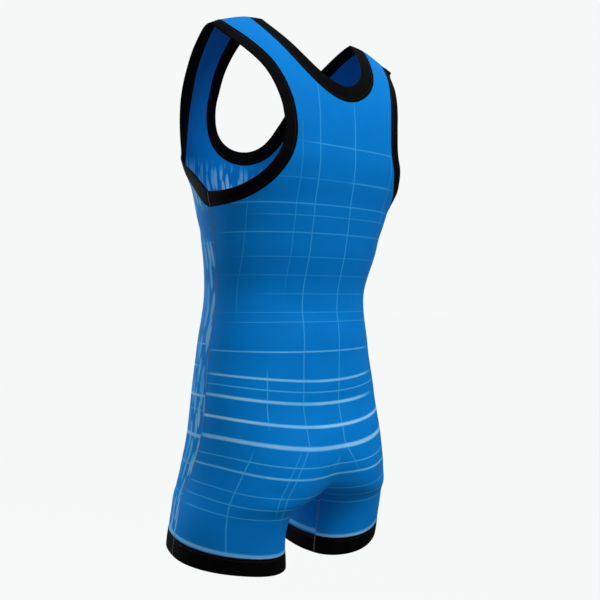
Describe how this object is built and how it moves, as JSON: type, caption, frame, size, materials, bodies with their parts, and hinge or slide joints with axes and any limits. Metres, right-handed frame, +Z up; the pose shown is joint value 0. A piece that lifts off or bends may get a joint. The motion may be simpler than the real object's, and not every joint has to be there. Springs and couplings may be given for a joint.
{
  "type": "wrestling singlet",
  "caption": "One-piece sleeveless wrestling suit in stretch knit with a scooped neck, deep armholes and short legs, standing open in the shape it is worn in.",
  "frame": {"origin": "middle of the shoulder line, 3 mm above the tops of both straps at the neck, where the garment is held", "axes": "+Z up along the body; the front faces -Y; +X is the wearer's left"},
  "size_m": [0.3658, 0.2785, 0.8127],
  "materials": {
    "blue_knit": "smooth stretch knit with a soft sheen",
    "black_trim": "folded stretch knit, matte"
  },
  "bodies": {
    "root": {"front_panel": "blue_knit", "back_panel": "blue_knit", "neck_binding": "black_trim", "armhole_binding_left": "black_trim", "armhole_binding_right": "black_trim", "leg_band_left": "black_trim", "leg_band_right": "black_trim"}
  },
  "joints": []
}
